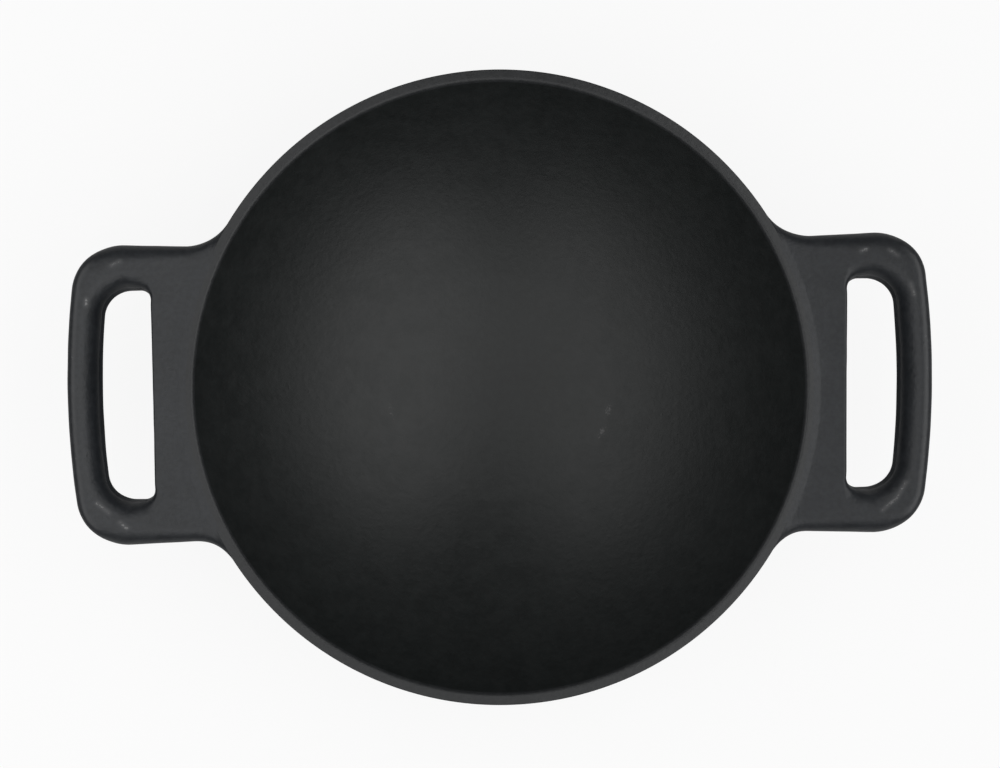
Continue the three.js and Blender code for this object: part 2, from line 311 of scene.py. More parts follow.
class TurningTree:
    """Geometry nodes that turn a profile about Z, with the slight waviness of a casting."""

    waviness = 0.0012
    wave_size = 0.06
    wave_scale = 2.0
    wave_middle = 0.5
    seed = 3.0
    weld = 0.001
    kinds = {
        "Profile": "Geometry",
        "Steps": "Int",
        "Waviness": "Float",
        "Wave Size": "Float",
        "Seed": "Float",
        "Finish": "Material",
    }

    def __init__(self) -> None:
        """Builds the tree and keeps the identifiers of its inputs."""
        self.tree = bpy.data.node_groups.new("turned_profile", "GeometryNodeTree")
        self.sheet = NodeSheet(self.tree)
        self.inputs: dict[str, str] = {}
        self.build()

    def build(self) -> None:
        """Lays out the sockets and the nodes."""
        sheet = self.sheet
        for name, kind in self.kinds.items():
            self.inputs[name] = sheet.socket(name, kind).identifier
        sheet.socket("Turned", "Geometry", "OUTPUT")
        source = sheet.add("NodeGroupInput").outputs
        size = sheet.add("GeometryNodeAttributeDomainSize", {"Geometry": source["Profile"]}).outputs
        count = size["Point Count"]
        around = sheet.math("ADD", source["Steps"], 1)
        plugs = {"Size X": 1.0, "Size Y": 1.0, "Vertices X": around, "Vertices Y": count}
        grid = sheet.add("GeometryNodeMeshGrid", plugs).outputs
        place = sheet.add("ShaderNodeSeparateXYZ", {0: grid["UV Map"]}).outputs
        turn = sheet.math("MULTIPLY", place["X"], math.tau)
        along = sheet.math("MULTIPLY", place["Y"], sheet.math("SUBTRACT", count, 1))
        index = sheet.math("ROUND", along)
        position = sheet.add("GeometryNodeInputPosition").outputs[0]
        plugs = {"Geometry": source["Profile"], "Value": position, "Index": index}
        sample = sheet.add("GeometryNodeSampleIndex", plugs, data_type="FLOAT_VECTOR", domain="POINT")
        point = sheet.add("ShaderNodeSeparateXYZ", {0: sample.outputs[0]}).outputs
        cosine, sine = sheet.math("COSINE", turn), sheet.math("SINE", turn)
        wave = self.wave(source, cosine, sine, point["Z"])
        reach = sheet.math("ADD", point["X"], sheet.math("MULTIPLY", wave, point["X"]))
        east, north = sheet.math("MULTIPLY", reach, cosine), sheet.math("MULTIPLY", reach, sine)
        turned = sheet.add("ShaderNodeCombineXYZ", {"X": east, "Y": north, "Z": point["Z"]}).outputs[0]
        plugs = {"Geometry": grid["Mesh"], "Position": turned}
        moved = sheet.add("GeometryNodeSetPosition", plugs).outputs[0]
        plugs = {"Geometry": moved, "Distance": self.weld * MM}
        merged = sheet.add("GeometryNodeMergeByDistance", plugs).outputs[0]
        real = sheet.add("GeometryNodeRealizeInstances", {"Geometry": merged}).outputs[0]
        plugs = {"Geometry": real, "Material": source["Finish"]}
        dressed = sheet.add("GeometryNodeSetMaterial", plugs).outputs[0]
        sheet.add("NodeGroupOutput", {"Turned": dressed})

    def wave(
        self,
        source: bpy.types.bpy_prop_collection,
        cosine: bpy.types.NodeSocket,
        sine: bpy.types.NodeSocket,
        height: bpy.types.NodeSocket,
    ) -> bpy.types.NodeSocket:
        """How far out of round the casting is at a place, as a share of its radius.

        Args:
            source: Outputs of the group's input node.
            cosine: Cosine of the turn.
            sine: Sine of the turn.
            height: Height on the profile.

        Returns:
            The share's socket.
        """
        sheet = self.sheet
        plugs = {"X": cosine, "Y": sine, "Z": sheet.math("DIVIDE", height, source["Wave Size"])}
        spot = sheet.add("ShaderNodeCombineXYZ", plugs).outputs[0]
        plugs = {"Vector": spot, "W": source["Seed"], "Scale": self.wave_scale, "Detail": 1.0}
        rough = sheet.add("ShaderNodeTexNoise", plugs, noise_dimensions="4D").outputs[0]
        return sheet.math("MULTIPLY", sheet.math("SUBTRACT", rough, self.wave_middle), source["Waviness"])

    def turn(self, name: str, profile: Profile, steps: int, finish: bpy.types.Material) -> bpy.types.Object:
        """Turns a profile into a plain mesh.

        Args:
            name: Name of the piece.
            profile: Radius and height of its points, in millimetres.
            steps: Steps round the axis.
            finish: Its material.

        Returns:
            The finished object, at the origin.
        """
        line = bpy.data.meshes.new(f"{name}_profile")
        line.from_pydata([(radius * MM, 0.0, height * MM) for radius, height in profile], [], [])
        piece = put(name, line)
        modifier = piece.modifiers.new("turning", "NODES")
        modifier.node_group = self.tree
        values = {"Steps": steps, "Seed": self.seed, "Finish": finish}
        values |= {"Waviness": self.waviness, "Wave Size": self.wave_size}
        for key, value in values.items():
            modifier[self.inputs[key]] = value
        evaluated = piece.evaluated_get(bpy.context.evaluated_depsgraph_get())
        mesh = bpy.data.meshes.new_from_object(evaluated)
        mesh.materials.clear()
        mesh.materials.append(finish)
        mesh.polygons.foreach_set("material_index", [0] * len(mesh.polygons))
        piece.modifiers.clear()
        piece.data = mesh
        bpy.data.meshes.remove(line)
        mesh.name = name
        close_mesh(mesh)
        return piece


@dataclass
class TurnedPiece:
    """A piece turned about the wok's axis, with its name, its slot and the nodes that it stands for."""

    sizes: WokSizes
    name: str
    slot: Slot
    nodes: tuple[str, ...]
    steps: int = 288

    def profile(self) -> Profile:
        """Half section of the piece, which each kind of piece gives."""
        raise NotImplementedError

    def build(self, turning: TurningTree, finish: bpy.types.Material) -> None:
        """Turns the piece in its finish and seats it."""
        seat(turning.turn(self.name, self.profile(), self.steps, finish), self.nodes)


@dataclass
class Bowl(TurnedPiece):
    """The cast bowl: its floor and walls, inside and out."""

    name: str = "bowl"
    slot: Slot = Slot.BOWL
    nodes: tuple[str, ...] = (
        "bowl_floor",
        "bowl_right_wall",
        "bowl_back_wall",
        "bowl_left_wall",
        "bowl_front_wall",
    )
    floor_steps: int = 24
    wall_steps: int = 56

    def profile(self) -> Profile:
        """Goes from the middle of the floor up the inside and back down the outside.

        Returns:
            The points.
        """
        top = self.sizes.band_bottom
        inner = self.sizes.inside.points(top, self.floor_steps, self.wall_steps)
        outer = self.sizes.outside.points(top, self.floor_steps, self.wall_steps)
        return inner + outer[::-1]


def rounded(start: Point, corner: Point, end: Point, steps: int) -> Profile:
    """Rounds off a corner of a section.

    Args:
        start: Where the rounding starts.
        corner: The sharp corner.
        end: Where the rounding ends.
        steps: Steps between them.

    Returns:
        The points.
    """
    points = []
    for i in range(steps + 1):
        t = i / steps
        first, middle, last = (1 - t) ** 2, 2 * t * (1 - t), t**2
        points.append(tuple(first * a + middle * b + last * c for a, b, c in zip(start, corner, end)))
    return points


@dataclass
class RimLand(TurnedPiece):
    """The land round the mouth, which falls a little outwards, with its two rounded edges."""

    name: str = "rim"
    slot: Slot = Slot.RIM
    nodes: tuple[str, ...] = ("rim_band",)
    edge_steps: int = 6
    land_steps: int = 4

    def edge(self, wall: Point, corner: float, way: float) -> Profile:
        """Rounded edge from a wall to the land.

        Args:
            wall: Last point of the wall.
            corner: Radius of the sharp corner that the edge rounds off.
            way: 1 where the land lies outward of the corner, otherwise -1.

        Returns:
            Points from the wall to the land.
        """
        last = corner + way * self.sizes.land_edge
        height = self.sizes.land_height
        return rounded(wall, (corner, height(corner)), (last, height(last)), self.edge_steps)

    def profile(self) -> Profile:
        """Goes round the rim's closed section, from the inner wall over the land to the outer wall.

        Returns:
            The points.
        """
        sizes = self.sizes
        inner_wall = (float(sizes.inside.wall_reach(sizes.band_bottom)), sizes.band_bottom)
        outer_wall = (float(sizes.outside.wall_reach(sizes.band_bottom)), sizes.band_bottom)
        inner = self.edge(inner_wall, sizes.rim_radius - sizes.land, 1.0)
        outer = self.edge(outer_wall, sizes.rim_radius + sizes.rim_bulge, -1.0)[::-1]
        across = np.linspace(inner[-1][0], outer[0][0], self.land_steps + 1)[1:-1]
        land = [(float(radius), float(sizes.land_height(radius))) for radius in across]
        root = ((inner_wall[0] + outer_wall[0]) / 2, sizes.band_bottom - sizes.land_edge)
        return inner + land + outer + [root, inner[0]]


@dataclass
class FootRing(TurnedPiece):
    """The ring that the wok stands on, with eased edges, drafted sides and fillets against the bowl."""

    name: str = "foot"
    slot: Slot = Slot.FOOT
    nodes: tuple[str, ...] = ("foot_ring",)
    setback: float = 1.0
    width: float = 7.0
    edge: float = 0.8
    draft: float = 0.5
    fillet: float = 3.0
    edge_steps: int = 6
    sunk: float = 0.6

    def side(self, radius: float, way: float) -> Profile:
        """One side of the ring, from the bowl's underside to the standing face.

        Args:
            radius: Radius of that side where it meets the bowl.
            way: 1 for the outer side, -1 for the inner one.

        Returns:
            The side's points.
        """
        outside = self.sizes.outside
        start = outside.floor_point(radius + way * self.fillet)
        corner = outside.floor_point(radius)
        low = (radius - way * self.draft / 2, corner[1] - self.fillet)
        points = [(start[0], start[1] + self.sunk)]
        points += rounded(start, corner, low, self.edge_steps)
        foot = radius - way * self.draft
        for i in range(self.edge_steps + 1):
            turn = math.pi / 2 * i / self.edge_steps
            points.append((foot - way * self.edge * (1 - math.cos(turn)), self.edge * (1 - math.sin(turn))))
        return points

    def profile(self) -> Profile:
        """Goes round the ring's closed section.

        Returns:
            The points.
        """
        outer = self.sizes.floor_radius - self.setback
        points = self.side(outer, 1.0) + self.side(outer - self.width, -1.0)[::-1]
        return points + points[:1]


def arc(centre: Point, radius: float, start: float, end: float, steps: int) -> np.ndarray:
    """Points on an arc in plan, from one angle to another, one more than its steps."""
    turn = np.linspace(start, end, steps + 1)
    return np.stack([centre[0] + radius * np.cos(turn), centre[1] + radius * np.sin(turn)], axis=1)


def line(start: Point, end: Point, steps: int) -> np.ndarray:
    """Points on a straight line in plan, one more than its steps."""
    return np.linspace(np.array(start), np.array(end), steps + 1)


def even(path: np.ndarray, steps: int) -> np.ndarray:
    """Spaces a path's points evenly.

    Args:
        path: Points of the path.
        steps: Steps in the result.

    Returns:
        The spaced points.
    """
    gone = np.concatenate([[0.0], np.cumsum(np.hypot(*np.diff(path, axis=0).T))])
    at = np.linspace(0.0, gone[-1], steps + 1)
    return np.stack([np.interp(at, gone, path[:, k]) for k in range(2)], axis=1)


def ease(value: np.ndarray | float, start: float, end: float) -> np.ndarray:
    """Goes smoothly from 0 at a start to 1 at an end."""
    t = np.clip((value - start) / (end - start), 0.0, 1.0)
    return t * t * (3 - 2 * t)


def between(first: np.ndarray | float, second: np.ndarray | float, share: np.ndarray | float) -> np.ndarray:
    """A share of the way from one value to another."""
    return first + (second - first) * share


def away_from(path: np.ndarray, points: np.ndarray) -> np.ndarray:
    """Plan distance of points from a path.

    Args:
        path: Points of the path, joined by straight lines.
        points: An array whose last axis is x and y.

    Returns:
        The distances.
    """
    flat = points.reshape(-1, 1, 2)
    start, step = path[None, :-1], np.diff(path, axis=0)[None]
    share = ((flat - start) * step).sum(axis=2) / np.maximum((step**2).sum(axis=2), TINY)
    near = start + np.clip(share, 0.0, 1.0)[..., None] * step
    return np.hypot(*np.moveaxis(flat - near, 2, 0)).min(axis=1).reshape(points.shape[:-1])


def drop(away: np.ndarray, radius: np.ndarray) -> np.ndarray:
    """How far a rounded edge falls below the flat, at a distance in from it."""
    back = np.clip(radius - away, 0.0, radius)
    return radius - np.sqrt(np.maximum(radius**2 - back**2, 0.0))


# Scuffs of each handle: points of each, x and y as on the right handle, in millimetres
SCUFFS = {
    Side.LEFT: (
        ((182.8, -65.2), (186.9, -63.1)),
        ((199.3, -46.6), (199.4, -44.2)),
        ((196.4, 52.2), (191.1, 56.9)),
        ((185.9, 61.6), (182.6, 64.6)),
    ),
    Side.RIGHT: (
        ((175.5, 64.0), (177.9, 64.9)),
        ((188.6, 64.3), (192.6, 61.5)),
        ((198.9, 47.6), (200.3, 42.3)),
        ((196.8, -48.7), (192.8, -55.9), (185.9, -62.1)),
    ),
}

# Degrees by which each handle was cast out of square, as on the right handle
LEANS = {Side.LEFT: -0.4, Side.RIGHT: 1.2}


@dataclass
class LoopHandle:
    """A loop handle: a web at the rim, two arms and a bowed grip round a finger slot, in millimetres."""

    side: Side
    sizes: WokSizes
    web_reach: float = 14.1
    slot_width: float = 25.0
    slot_length: float = 102.0
    near_corner: float = 5.5
    far_corner: float = 13.6
    arm_width: float = 22.2
    grip_width: float = 15.5
    grip_bow: float = 440.0
    outer_corner: float = 24.2
    arm_neck: float = 0.9
    root_fillet: float = 25.0
    rise: float = 10.4
    gather: float = 1.25
    most_sweep: float = 1.2
    web_thickness: float = 9.0
    grip_thickness: float = 15.0
    root_thickness: float = 1.8
    web_fillet: float = 8.0
    web_edge: float = 1.4
    slot_draft: float = 1.5
    arm_slot_edge: float = 9.4
    grip_slot_edge: float = 8.7
    taper_start: float = 3.0
    taper_end: float = 12.0
    arm_edge: float = 9.4
    grip_edge: float = 5.2
    under_edge: float = 5.0
    most_round: float = 0.75
    least_side: float = 0.4
    slot_side: float = 3.0
    least_edge: float = 0.2
    crease: float = 1.5
    flush: float = 0.01
    buried: float = 1.8
    web_share: float = 0.43
    web_steps: int = 40
    root_steps: int = 44
    arm_steps: int = 14
    corner_steps: int = 40
    grip_steps: int = 36
    across_steps: int = 44
    dent: float = 0.09
    dent_size: float = 11.0
    dent_seed: int = 7
    aside: float = 0.7
    # The grip's crown line is lightened: partly real wear, partly a painted highlight in place of the lamp's
    # reflection on the outer rounding.
    crown_line: float = 3.0
    crown_width: float = 1.3
    crown_rub_and_highlight: float = 0.5
    scuff_width: float = 1.1
    rub_and_highlight_depth: Span = (-3.0, -0.4)
    crown_start: float = 6.0
    crown_end: float = 4.0
    root_fade: float = 0.8
    edge_fade: float = 0.75
    grip_start: float = 4.0
    grip_end: float = 9.0
    most_draft: float = 0.5
    least_fillet: float = 0.1
    hidden_in: float = 0.5
    hidden_up: float = 0.3
    dent_offset: float = 40.0
    fine_steps: int = 60
    slot_path: np.ndarray = field(init=False)
    edge_path: np.ndarray = field(init=False)

    @property
    def slot_near(self) -> float:
        """Slot's side beside the bowl."""
        return self.sizes.rim_radius + self.web_reach

    @property
    def slot_far(self) -> float:
        """Slot's side beside the grip."""
        return self.slot_near + self.slot_width

    @property
    def half_slot(self) -> float:
        """Half the slot's length."""
        return self.slot_length / 2

    @property
    def half_span(self) -> float:
        """Half the handle's width."""
        return self.half_slot + self.arm_width

    @property
    def root(self) -> Point:
        """Middle of the root fillet."""
        y = self.half_span - self.arm_neck + self.root_fillet
        return math.sqrt((self.sizes.rim_radius + self.root_fillet) ** 2 - y**2), y

    @property
    def root_turn(self) -> float:
        """Direction in which the root fillet leaves the rim."""
        return math.atan2(self.root[1], self.root[0])

    def bow_corner(self, bow: float, half: float, corner: float) -> tuple[Point, float]:
        """Middle of a corner between a side and the bow, and the direction in which the bow takes over.

        Args:
            bow: Radius of the bow.
            half: Height of the side above the handle's middle.
            corner: Radius of the corner.

        Returns:
            The corner's middle and the direction.
        """
        rise = half - corner
        run = math.sqrt((bow - corner) ** 2 - rise**2)
        middle = self.slot_far + self.grip_width - self.grip_bow
        return (middle + run, rise), math.atan2(rise, run)

    def runs(self) -> list[tuple[np.ndarray, np.ndarray]]:
        """Matching runs of the slot's edge and the outer edge over the half with y above 0.

        Returns:
            For each run its slot points and its outer points.
        """
        quarter = math.pi / 2
        end = self.slot_far + self.grip_width
        bow_middle = (end - self.grip_bow, 0.0)
        inner_bow = self.grip_bow - self.grip_width
        slot_mid, slot_turn = self.bow_corner(inner_bow, self.half_slot, self.far_corner)
        edge_mid, edge_turn = self.bow_corner(self.grip_bow, self.half_span, self.outer_corner)
        near = (self.slot_near + self.near_corner, self.half_slot - self.near_corner)
        web_end = (self.slot_near, near[1] * self.web_share)
        web = line(web_end, (self.slot_near, near[1]), self.fine_steps)
        turn = arc(near, self.near_corner, math.pi, quarter, self.corner_steps)
        root_slot = even(np.concatenate([web, turn[1:]]), self.root_steps)
        buried = self.sizes.rim_radius - self.buried
        root_start = math.pi + self.root_turn
        arm_start = (self.root[0], self.half_span - self.arm_neck)
        return [
            (
                line((self.slot_near, 0.0), web_end, self.web_steps),
                arc((0.0, 0.0), buried, 0.0, self.root_turn, self.web_steps),
            ),
            (
                root_slot,
                arc(self.root, self.root_fillet, root_start, 3 * quarter, self.root_steps),
            ),
            (
                line((near[0], self.half_slot), (slot_mid[0], self.half_slot), self.arm_steps),
                line(arm_start, (edge_mid[0], self.half_span), self.arm_steps),
            ),
            (
                arc(slot_mid, self.far_corner, quarter, slot_turn, self.corner_steps),
                arc(edge_mid, self.outer_corner, quarter, edge_turn, self.corner_steps),
            ),
            (
                arc(bow_middle, inner_bow, slot_turn, 0.0, self.grip_steps),
                arc(bow_middle, self.grip_bow, edge_turn, 0.0, self.grip_steps),
            ),
        ]

    def stations(self) -> tuple[np.ndarray, np.ndarray]:
        """Joins the half's runs into stations, from the web to the grip, and keeps the paths of both edges.

        Returns:
            Slot points and outer points of the stations.
        """
        runs = self.runs()
        joined = []
        for part in range(2):
            pieces = [run[part][:-1] for run in runs] + [runs[-1][part][-1:]]
            joined.append(np.concatenate(pieces))
        self.slot_path = np.concatenate([run[0] for run in runs])
        self.edge_path = np.concatenate([run[1] for run in runs[1:]])
        return joined[0], joined[1]

    @property
    def foot(self) -> float:
        """Radius at which the handle leaves the land."""
        return self.sizes.rim_radius + self.crease

    def swept(self, plan: np.ndarray) -> np.ndarray:
        """How far the handle has swept up from the land to the crown of the grip.

        Args:
            plan: Points in plan.

        Returns:
            A share for each.
        """
        x, y = plan[..., 0], plan[..., 1]
        start = np.sqrt(self.foot**2 - y**2)
        crown = self.slot_far + self.grip_width - self.grip_edge
        return np.clip((x - start) / (crown - start), 0.0, self.most_sweep) ** self.gather

    def top_flat(self, plan: np.ndarray) -> np.ndarray:
        """Height of the top before its edges are rounded: the land's slope, then the sweep."""
        reach = np.minimum(np.hypot(plan[..., 0], plan[..., 1]), self.foot)
        return self.sizes.land_height(reach) + self.flush + self.rise * self.swept(plan)

    def thickness(self, plan: np.ndarray) -> np.ndarray:
        """Thickness of the metal: thin at the roots, thicker at the web and full at the grip.

        Args:
            plan: Points in plan.

        Returns:
            The thickness at each.
        """
        full = between(self.web_thickness, self.grip_thickness, self.swept(plan))
        turn = np.arctan2(np.abs(plan[..., 1]), plan[..., 0])
        fade = ease(turn, self.root_turn, self.root_turn * self.root_fade)
        return between(self.root_thickness, full, fade)

    def outer_round(self, plan: np.ndarray) -> np.ndarray:
        """Rounding of the outer edge: the land's edge at the roots, wider on the arms, less on the grip.

        Args:
            plan: Points in plan.

        Returns:
            The radius at each.
        """
        x, y = plan[..., 0], plan[..., 1]
        turn = np.arctan2(np.abs(y), x)
        fade = ease(turn, self.root_turn, self.root_turn * self.edge_fade)
        arm = between(self.sizes.land_edge, self.arm_edge, fade)
        grip = ease(x, self.slot_far - self.grip_start, self.slot_far + self.grip_end)
        return np.minimum(between(arm, self.grip_edge, grip), self.most_round * self.thickness(plan))

    def slot_round(self, slot: np.ndarray, share: np.ndarray) -> np.ndarray:
        """Rounding over the slot's edge: small at the web, wide on the arms, less on the grip.

        Args:
            slot: Points of the slot's edge.
            share: How far the handle has gone over from the web to the loop at each.

        Returns:
            The radius at each.
        """
        grip = ease(slot[..., 0], self.slot_far - self.far_corner, self.slot_far)
        loop = between(self.arm_slot_edge, self.grip_slot_edge, grip)
        return np.minimum(between(self.web_edge, loop, share), self.most_round * self.thickness(slot))

    def top(self, plan: np.ndarray, share: np.ndarray, slot_round: np.ndarray) -> np.ndarray:
        """Height of the top with its edges rounded.

        Args:
            plan: Points in plan.
            share: How far the handle has gone over from the web to the loop at each.
            slot_round: Rounding over the slot's edge at each.

        Returns:
            Their heights.
        """
        from_slot = away_from(self.slot_path, plan) - self.slot_draft * share
        from_edge = away_from(self.edge_path, plan)
        height = self.top_flat(plan) - drop(np.maximum(from_slot, 0.0), slot_round)
        return height - drop(from_edge, self.outer_round(plan))

    def underside(self, plan: np.ndarray, share: np.ndarray, slot_round: np.ndarray) -> np.ndarray:
        """Height of the underside with its edges rounded and its fillet against the bowl.

        Args:
            plan: Points in plan.
            share: How far the handle has gone over from the web to the loop at each.
            slot_round: Rounding over the slot's edge at each.

        Returns:
            Their heights.
        """
        thick = self.thickness(plan)
        slot_most = between(self.web_edge, self.under_edge, share)
        slot_under = np.clip(thick - self.slot_side - slot_round, self.least_edge, slot_most)
        edge_room = thick - self.least_side - self.outer_round(plan)
        edge_under = np.clip(edge_room, self.least_edge, self.under_edge)
        height = self.top_flat(plan) - thick
        height = height + drop(away_from(self.slot_path, plan), slot_under)
        height = height + drop(away_from(self.edge_path, plan), edge_under)
        corner, slope, radius, reach = self.wall_corner(plan)
        middle = corner + reach
        back = np.clip(middle - np.hypot(plan[..., 0], plan[..., 1]), 0.0, radius * np.sin(slope))
        return height - (radius - np.sqrt(radius**2 - back**2))

    def wall_corner(self, plan: np.ndarray) -> tuple[np.ndarray, ...]:
        """Where the underside meets the bowl's wall.

        Args:
            plan: Points in plan.

        Returns:
            Radius of the corner, slope of the wall, radius of the fillet and its reach along each face.
        """
        outside = self.sizes.outside
        thick = self.thickness(plan)
        height = self.sizes.rim_height - thick
        slope = outside.wall_slope(height)
        radius = self.web_fillet * np.clip(thick / self.web_thickness, self.least_fillet, 1.0)
        return outside.wall_reach(height), slope, radius, radius * np.tan(slope / 2)

    def sections(self) -> np.ndarray:
        """Closed sections of the half, from the web's middle to the grip's middle.

        Returns:
            An array of stations, points and x, y, z.
        """
        slot, edge = self.stations()
        gone = np.concatenate([[0.0], np.cumsum(np.hypot(*np.diff(slot, axis=0).T))])
        corner = self.half_slot - self.near_corner
        share = ease(gone, corner - self.taper_start, self.half_slot + self.taper_end)
        web = np.arange(len(slot)) < self.web_steps
        sweep = (1 - np.cos(np.linspace(0.0, math.pi, self.across_steps + 1))) / 2
        width = np.hypot(*(edge - slot).T)
        lean = np.minimum(self.slot_draft * share / width, self.most_draft)
        above = between(lean[:, None], 1.0, sweep[None])
        plan_top = between(slot[:, None], edge[:, None], above[..., None])
        meeting, slope, _, reach = self.wall_corner(edge)
        inner = meeting - reach * np.cos(slope)
        turn = np.arctan2(edge[:, 1], edge[:, 0])
        wall = np.stack([inner * np.cos(turn), inner * np.sin(turn)], axis=1)
        under_end = np.where(web[:, None], wall, edge)
        plan_under = between(under_end[:, None], slot[:, None], sweep[None, :, None])
        shares = share[:, None] + np.zeros_like(above)
        rounds = self.slot_round(slot, share)[:, None] + np.zeros_like(above)
        top = np.concatenate([plan_top, self.top(plan_top, shares, rounds)[..., None]], axis=2)
        under = np.concatenate([plan_under, self.underside(plan_under, shares, rounds)[..., None]], axis=2)
        top[web, -1, 2] -= self.buried / 3
        sides = self.sides(top[:, -1], under[:, 0], web)
        bore = [between(under[:, -1], top[:, 0], t) for t in (1 / 3, 2 / 3)]
        return np.concatenate([top, sides, under, np.stack(bore, axis=1)], axis=1)

    def sides(self, top: np.ndarray, under: np.ndarray, web: np.ndarray) -> np.ndarray:
        """Points down the outer side, or down the hidden end inside the bowl's wall.

        Args:
            top: Last points of the top.
            under: First points of the underside.
            web: Which stations end inside the bowl's wall.

        Returns:
            Two points for each station.
        """
        hidden = under.copy()
        reach = np.hypot(hidden[:, 0], hidden[:, 1])
        hidden[:, :2] *= ((reach - self.hidden_in) / reach)[:, None]
        hidden[:, 2] += self.hidden_up
        lower = np.where(web[:, None], hidden, between(top, under, 2 / 3))
        upper = np.where(web[:, None], between(top, hidden, 1 / 2), between(top, under, 1 / 3))
        return np.stack([upper, lower], axis=1)

    def rub_and_highlight(self, points: np.ndarray) -> np.ndarray:
        """How much each place is rubbed by hands and by other pans, plus a painted highlight along the
        grip's crown, which is partly real wear.

        Args:
            points: Places on the right handle.

        Returns:
            A share for each.
        """
        plan = points[:, :2]
        half = np.stack([plan[:, 0], np.abs(plan[:, 1])], axis=1)
        high = ease(points[:, 2] - self.top_flat(half), *self.rub_and_highlight_depth)
        # Crown line of the grip: painted highlight, partly real wear. The scuffs below are real wear.
        crown = np.exp(-(((away_from(self.edge_path, half) - self.crown_line) / self.crown_width) ** 2))
        grip = ease(plan[:, 0], self.slot_far - self.crown_start, self.slot_far + self.crown_end)
        rub_and_highlight = self.crown_rub_and_highlight * crown * grip
        for scuff in SCUFFS[self.side]:
            off = away_from(np.array(scuff), plan)
            rub_and_highlight = np.maximum(rub_and_highlight, np.exp(-((off / self.scuff_width) ** 2)))
        return np.clip(high * rub_and_highlight, 0.0, 1.0)

    def dented(self, points: np.ndarray) -> np.ndarray:
        """Moves points a little, as a cast and hand-finished surface wanders.

        Args:
            points: Places on the handle.

        Returns:
            The moved places.
        """
        noise.seed_set(self.dent_seed)
        offset = self.dent_offset if self.side is Side.LEFT else 0.0
        moves = [noise.noise_vector(Vector(p) / self.dent_size + Vector((offset, 0.0, 0.0))) for p in points]
        reach = np.hypot(points[:, 0], points[:, 1])
        free = ease(reach, self.foot, self.slot_near)
        shift = self.dent * np.array([tuple(move) for move in moves])
        shift[:, 0] += math.tan(math.radians(LEANS[self.side])) * points[:, 1]
        shift[:, 1] -= self.side.value * self.aside
        return points + free[:, None] * shift

    def build(self, finish: bpy.types.Material) -> None:
        """Lofts the sections into a closed loop, dresses it and seats it.

        Args:
            finish: The handle's material.
        """
        half = self.sections()
        mirrored = half[-2:0:-1] * np.array([1.0, -1.0, 1.0])
        loop = np.concatenate([half, mirrored])
        rings, count = loop.shape[:2]
        points = loop.reshape(-1, 3)
        rub_and_highlight = self.rub_and_highlight(points)
        ring, step = np.meshgrid(np.arange(rings), np.arange(count), indexing="ij")
        after, beside = (ring + 1) % rings, (step + 1) % count
        corners = [ring * count + step, after * count + step, after * count + beside, ring * count + beside]
        quads = np.stack(corners, axis=-1).reshape(-1, 4)
        name = f"{self.side.name.lower()}_handle"
        turn = np.array([self.side.value, self.side.value, 1.0])
        mesh = bpy.data.meshes.new(name)
        mesh.from_pydata((self.dented(points) * turn * MM).tolist(), [], quads.tolist())
        # The attribute holds real scuffs and the grip's crown line, a painted highlight that is partly wear.
        mesh.attributes.new("rub_and_highlight", "FLOAT", "POINT").data.foreach_set("value", rub_and_highlight)
        mesh.materials.append(finish)
        close_mesh(mesh)
        seat(put(name, mesh), (f"{name}_lug", f"{name}_grip"))


class ShaderGroup:
    """A shader node group with named inputs and outputs."""

    def __init__(self, name: str, inputs: dict[str, float | None], outputs: tuple[str, ...]) -> None:
        """Makes the group's sockets.

        Args:
            name: Name of the group.
            inputs: Input names with their values, or None for a vector.
            outputs: Names of its values.
        """
        self.tree = bpy.data.node_groups.new(name, "ShaderNodeTree")
        self.sheet = NodeSheet(self.tree)
        for key, value in inputs.items():
            socket = self.sheet.socket(key, "Vector" if value is None else "Float")
            if value is not None:
                socket.default_value = value
        for key in outputs:
            self.sheet.socket(key, "Float", "OUTPUT")
        self.source = self.sheet.add("NodeGroupInput").outputs

    def close(self, **results: bpy.types.NodeSocket) -> None:
        """Feeds the group's outputs."""
        self.sheet.add("NodeGroupOutput", dict(results))

    def place(self, sheet: NodeSheet, plugs: dict[str, Plug]) -> bpy.types.bpy_prop_collection:
        """Places the group in a material.

        Args:
            sheet: The material's nodes.
            plugs: Values of the group's inputs.

        Returns:
            The group's outputs.
        """
        node = sheet.add("ShaderNodeGroup", node_tree=self.tree)
        for key, value in plugs.items():
            sheet.join(node.inputs[key], value)
        return node.outputs


